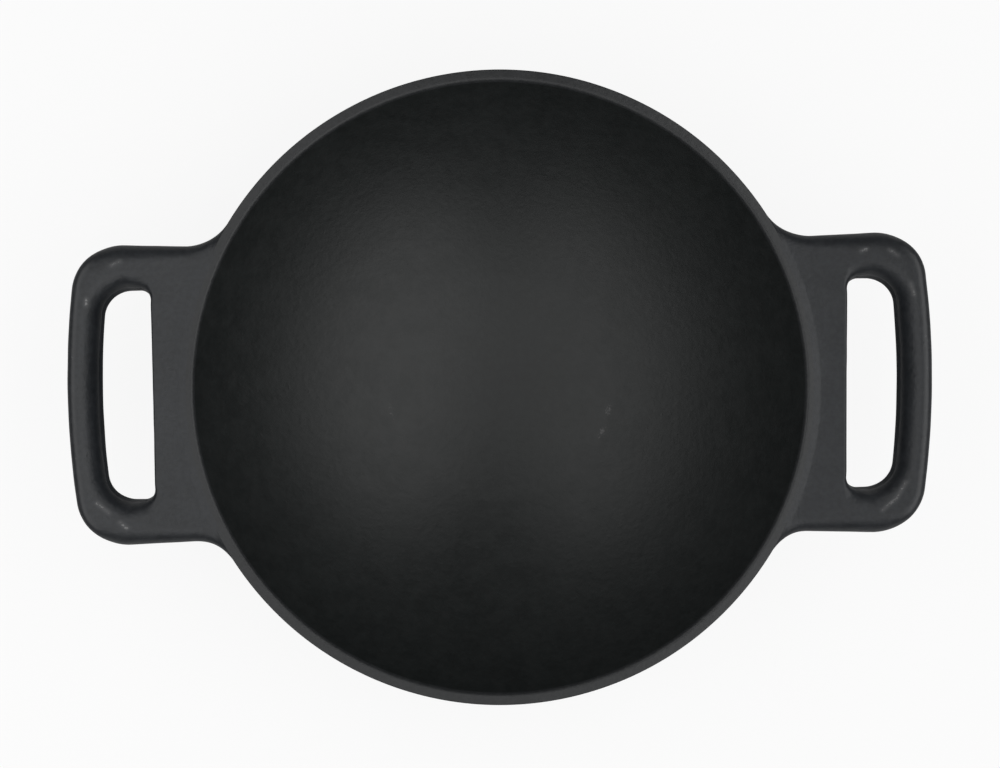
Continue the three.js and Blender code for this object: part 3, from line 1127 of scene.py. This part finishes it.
class IronEffects:
    """Effects that every iron finish shares."""

    noise_span = (0.3, 0.7)
    pit_span = (0.27, 0.34)
    pit_depth = 0.2
    fleck_share = 0.55
    patch_share = 0.45
    mask_share = 0.22
    fleck_span = (0.65, 0.82)

    def __init__(self) -> None:
        """Builds the groups once."""
        self.grain = self.make_grain()
        self.seasoning = self.make_seasoning()
        self.scuffs_and_highlights = self.make_scuffs_and_highlights()

    def make_grain(self) -> ShaderGroup:
        """Cast grain: fine sand marks on a soft orange peel, with a few pits.

        Returns:
            The group.
        """
        inputs = {"Position": None, "Sand": 0.8, "Peel": 2.6, "Peel Share": 0.4, "Pit": 3.5}
        group = ShaderGroup("cast_grain", inputs, ("Height", "Tone"))
        sheet, source = group.sheet, group.source
        sand = sheet.noise(source["Position"], source["Sand"], detail=3.0)
        peel = sheet.noise(source["Position"], source["Peel"], detail=1.0)
        mixed = sheet.math("ADD", sand, sheet.math("MULTIPLY", peel, source["Peel Share"]))
        spots = sheet.noise(source["Position"], source["Pit"], detail=2.0)
        pit = sheet.scaled(spots, self.pit_span, (-self.pit_depth, 0.0))
        group.close(Height=sheet.math("ADD", mixed, pit), Tone=sheet.scaled(sand, self.noise_span))
        return group

    def make_seasoning(self) -> ShaderGroup:
        """Baked oil: broad clouds and smaller blotches.

        Returns:
            The group.
        """
        inputs = {"Position": None, "Cloud": 45.0, "Blotch": 9.0}
        group = ShaderGroup("seasoning", inputs, ("Cloud", "Blotch"))
        sheet, source = group.sheet, group.source
        cloud = sheet.noise(source["Position"], source["Cloud"], detail=2.0)
        blotch = sheet.noise(source["Position"], source["Blotch"], detail=3.0)
        span = self.noise_span
        group.close(Cloud=sheet.scaled(cloud, span), Blotch=sheet.scaled(blotch, span))
        return group

    def make_scuffs_and_highlights(self) -> ShaderGroup:
        """Scuffs: a mask broken up into flecks, on a soft polish. On the grips' crowns and the floor's ring
        this lightening is painted highlight and painted glints, partly wear.

        Returns:
            The group.
        """
        inputs = {"Position": None, "Mask": 0.0, "Fleck": 1.0, "Patch": 5.0, "Polish": 0.25}
        group = ShaderGroup("scuffs_and_highlights", inputs, ("Bare",))
        sheet, source = group.sheet, group.source
        fleck = sheet.noise(source["Position"], source["Fleck"], detail=4.0)
        patch = sheet.noise(source["Position"], source["Patch"], detail=2.0)
        fine = sheet.math("MULTIPLY", fleck, self.fleck_share)
        broad = sheet.math("MULTIPLY", patch, self.patch_share)
        wear_and_highlight = sheet.math("MULTIPLY", source["Mask"], self.mask_share)
        level = sheet.math("ADD", sheet.math("ADD", fine, broad), wear_and_highlight)
        flecks = sheet.math("MULTIPLY", sheet.scaled(level, self.fleck_span), source["Mask"])
        # The polish lightens the whole mask: real wear at scuffs, painted highlight on the crowns and
        # painted glints on the floor's ring.
        polish = sheet.math("MULTIPLY", source["Mask"], source["Polish"])
        group.close(Bare=sheet.math("MAXIMUM", flecks, polish))
        return group


@dataclass(frozen=True)
class IronFinish:
    """A finish of seasoned iron: colours, sheen and grain."""

    name: str
    dark: Colour
    light: Colour
    rough_low: float
    rough_high: float
    shine: float
    sand: float
    relief: float
    # Colour and polish of lightened marks: real wear at scuffs, painted highlight on the crowns and painted
    # glints on the floor's ring.
    bare: Colour = (0.0, 0.0, 0.0, 1.0)
    polish: float = 0.0
    ring_radius: float = 0.0
    rubbed_and_highlighted: bool = False
    sand_share: float = 0.5
    stain_share: float = 0.25
    bare_and_highlight_metal: float = 0.5
    ring_width: float = 4.0
    ring_start: Span = (0.0, 0.2)
    ring_end: Span = (0.4, 0.6)
    ring_sides: Span = (0.7, 0.9)

    def material(self, effects: IronEffects) -> bpy.types.Material:
        """Builds the finish.

        Args:
            effects: The shared effects.

        Returns:
            The material.
        """
        material = bpy.data.materials.new(self.name)
        sheet = cleared(material)
        place = sheet.add("ShaderNodeTexCoord").outputs["Object"]
        grain = effects.grain.place(sheet, {"Position": place, "Sand": self.sand})
        oil = effects.seasoning.place(sheet, {"Position": place})
        stain = sheet.math("ADD", oil["Cloud"], oil["Blotch"])
        sand = sheet.math("MULTIPLY", grain["Tone"], self.sand_share)
        tone = sheet.math("ADD", sheet.math("MULTIPLY", stain, self.stain_share), sand)
        colour = sheet.blend(tone, self.dark, self.light)
        rough = sheet.scaled(oil["Blotch"], (0.0, 1.0), (self.rough_low, self.rough_high))
        plugs: Plugs = {"Specular IOR Level": self.shine, "IOR": 1.5}
        # Lighter, more metallic places: real scuffs, plus painted highlight on the crowns and painted glints
        # on the floor's ring.
        if self.rubbed_and_highlighted or self.ring_radius:
            wear_and_highlight = {"Position": place, "Mask": self.mask(sheet, place), "Polish": self.polish}
            bare = effects.scuffs_and_highlights.place(sheet, wear_and_highlight)["Bare"]
            colour = sheet.blend(bare, colour, self.bare)
            plugs["Metallic"] = sheet.math("MULTIPLY", bare, self.bare_and_highlight_metal)
        plugs |= {"Base Color": colour, "Roughness": rough}
        bump = {"Height": grain["Height"], "Strength": 1.0, "Distance": self.relief * MM}
        plugs["Normal"] = sheet.add("ShaderNodeBump", bump).outputs["Normal"]
        shader = sheet.add("ShaderNodeBsdfPrincipled", plugs)
        sheet.add("ShaderNodeOutputMaterial", {"Surface": shader.outputs["BSDF"]})
        return material

    def mask(self, sheet: NodeSheet, place: bpy.types.NodeSocket) -> bpy.types.NodeSocket:
        """Where the finish is lightened: a handle's scuffs and crowns, the crowns partly worn and partly
        painted highlight, or the ring at the edge of the floor, painted glints that are partly wear.

        Args:
            sheet: The material's nodes.
            place: Object position.

        Returns:
            The mask's socket.
        """
        if self.rubbed_and_highlighted:
            return sheet.add("ShaderNodeAttribute", attribute_name="rub_and_highlight").outputs["Fac"]
        # Ring where the floor meets the wall, on the front half and stronger to the right: painted glints,
        # partly real wear.
        split = sheet.add("ShaderNodeSeparateXYZ", {0: place}).outputs
        flat = sheet.add("ShaderNodeCombineXYZ", {"X": split["X"], "Y": split["Y"]}).outputs[0]
        reach = sheet.add("ShaderNodeVectorMath", {0: flat}, operation="LENGTH").outputs["Value"]
        off = sheet.math("ABSOLUTE", sheet.math("SUBTRACT", reach, self.ring_radius * MM))
        ring = sheet.scaled(off, (0.0, self.ring_width * MM), (1.0, 0.0))
        front = sheet.math("DIVIDE", sheet.math("MULTIPLY", split["Y"], -1.0), reach)
        near = sheet.scaled(front, self.ring_start)
        far = sheet.scaled(front, self.ring_end, (1.0, 0.0))
        edge = self.ring_radius * MM
        right = sheet.scaled(split["X"], (-edge, edge), self.ring_sides)
        return sheet.math("MULTIPLY", sheet.math("MULTIPLY", ring, right), sheet.math("MULTIPLY", near, far))


BOWL_FINISH = IronFinish(
    name="bowl_iron",
    dark=(0.0032, 0.0046, 0.0045, 1.0),
    light=(0.0080, 0.0099, 0.0098, 1.0),
    # The bare colour and polish make the lighter ring at the floor's edge: painted glints, partly wear.
    bare=(0.09, 0.09, 0.09, 1.0),
    rough_low=0.40,
    rough_high=0.45,
    shine=0.5,
    sand=3.2,
    relief=0.11,
    polish=0.05,
    ring_radius=57.0,
)
RIM_FINISH = IronFinish(
    name="rim_iron",
    dark=(0.0080, 0.0092, 0.0102, 1.0),
    light=(0.0180, 0.0196, 0.0210, 1.0),
    rough_low=0.37,
    rough_high=0.41,
    shine=0.53,
    sand=2.2,
    relief=0.14,
)
FOOT_FINISH = IronFinish(
    name="foot_iron",
    dark=(0.0060, 0.0068, 0.0072, 1.0),
    light=(0.0110, 0.0120, 0.0125, 1.0),
    rough_low=0.52,
    rough_high=0.62,
    shine=0.45,
    sand=2.8,
    relief=0.3,
)
HANDLE_FINISH = IronFinish(
    name="handle_iron",
    dark=(0.0060, 0.0076, 0.0098, 1.0),
    light=(0.0185, 0.0211, 0.0246, 1.0),
    # The bare colour and polish lighten the real scuffs and the grips' crowns, a painted highlight that is
    # partly wear.
    bare=(0.19, 0.19, 0.19, 1.0),
    rough_low=0.39,
    rough_high=0.43,
    shine=0.55,
    sand=2.4,
    relief=0.2,
    polish=0.25,
    rubbed_and_highlighted=True,
)


@dataclass(frozen=True)
class SoftLamp:
    """A large level lamp overhead: its middle, width and depth in millimetres, and how bright it looks."""

    name: str
    middle: tuple[float, float, float]
    width: float
    depth: float
    level: float

    def hang(self) -> None:
        """Hangs the lamp, facing straight down."""
        data = bpy.data.lights.new(self.name, "AREA")
        data.shape = "ELLIPSE"
        data.size = self.width * MM
        data.size_y = self.depth * MM
        face = math.pi / 4 * data.size * data.size_y
        data.energy = math.pi * face * self.level
        put(self.name, data).location = Vector(self.middle) * MM


LAMPS = (
    SoftLamp("right_lamp", (1350.0, -610.0, 1530.0), 2500.0, 4410.0, 1.25),
    SoftLamp("left_lamp", (-630.0, -215.0, 930.0), 1150.0, 2800.0, 1.0),
)


@dataclass(frozen=True)
class Studio:
    """A pale floor, soft lamps right and left overhead and the camera over the wok, in millimetres."""

    sizes: WokSizes
    camera_height: float = 1250.0
    picture_scale: float = 2.0516
    picture_roll: float = math.radians(0.97)
    aim: Point = (0.1, 1.6)
    sensor: float = 36.0
    floor_radius: float = 40000.0
    floor_gap: float = 0.1
    floor_colour: Colour = (0.55, 0.55, 0.55, 1.0)
    floor_pale: Colour = (0.95, 0.95, 0.95, 1.0)
    floor_white: float = 0.88
    floor_glow: float = 0.03
    room: float = 0.162
    view_end: float = 100000.0
    floor_sides: int = 96

    def camera(self) -> None:
        """Sets the camera over the bowl, looking straight down, at the photograph's scale and roll."""
        data = bpy.data.cameras.new("camera")
        data.sensor_width = self.sensor
        data.lens = self.sensor * self.camera_height * self.picture_scale / PHOTO_WIDTH
        data.clip_end = self.view_end * MM
        camera = put("camera", data)
        height = self.sizes.rim_height + self.camera_height
        camera.location = Vector((self.aim[0], self.aim[1], height)) * MM
        camera.rotation_euler = (0.0, 0.0, -self.picture_roll)
        bpy.context.scene.camera = camera

    def floor(self) -> None:
        """Lays the floor, which looks white and keeps a soft shadow."""
        mesh = bpy.data.meshes.new("floor")
        work = bmesh.new()
        radius = self.floor_radius * MM
        bmesh.ops.create_circle(work, cap_ends=True, segments=self.floor_sides, radius=radius)
        work.to_mesh(mesh)
        work.free()
        material = bpy.data.materials.new("pale_floor")
        sheet = cleared(material)
        path = sheet.add("ShaderNodeLightPath").outputs
        bounced = sheet.math("MAXIMUM", path["Is Glossy Ray"], path["Is Transmission Ray"])
        seen = sheet.math("MULTIPLY", path["Is Camera Ray"], self.floor_white)
        share = sheet.math("MAXIMUM", seen, sheet.math("MULTIPLY", bounced, self.floor_glow))
        colour = sheet.blend(path["Is Camera Ray"], self.floor_colour, self.floor_pale)
        matt = sheet.add("ShaderNodeBsdfDiffuse", {"Color": colour}).outputs[0]
        white = sheet.add("ShaderNodeEmission", {"Strength": 1.0}).outputs[0]
        mixed = sheet.add("ShaderNodeMixShader", {0: share, 1: matt, 2: white}).outputs[0]
        sheet.add("ShaderNodeOutputMaterial", {"Surface": mixed})
        mesh.materials.append(material)
        floor = put("floor", mesh)
        floor.location.z = -self.floor_gap * MM

    def world(self) -> None:
        """Fills the room with weak even light."""
        world = bpy.data.worlds.new("room")
        bpy.context.scene.world = world
        sheet = cleared(world)
        fill = sheet.add("ShaderNodeBackground", {"Strength": self.room}).outputs[0]
        sheet.add("ShaderNodeOutputWorld", {"Surface": fill})

    def build(self) -> None:
        """Sets up the camera, the floor and the light."""
        bpy.context.scene.view_settings.view_transform = "Standard"
        self.camera()
        self.floor()
        self.world()
        for lamp in LAMPS:
            lamp.hang()


def main() -> None:
    """Builds the wok and its studio."""
    logging.basicConfig(level=logging.INFO, format="%(name)s: %(message)s")
    sizes = WokSizes()
    effects = IronEffects()
    turning = TurningTree()
    Studio(sizes).build()
    Bowl(sizes).build(turning, BOWL_FINISH.material(effects))
    RimLand(sizes).build(turning, RIM_FINISH.material(effects))
    FootRing(sizes).build(turning, FOOT_FINISH.material(effects))
    handle_finish = HANDLE_FINISH.material(effects)
    for side in Side:
        LoopHandle(side, sizes).build(handle_finish)


if __name__ == "__main__":
    main()
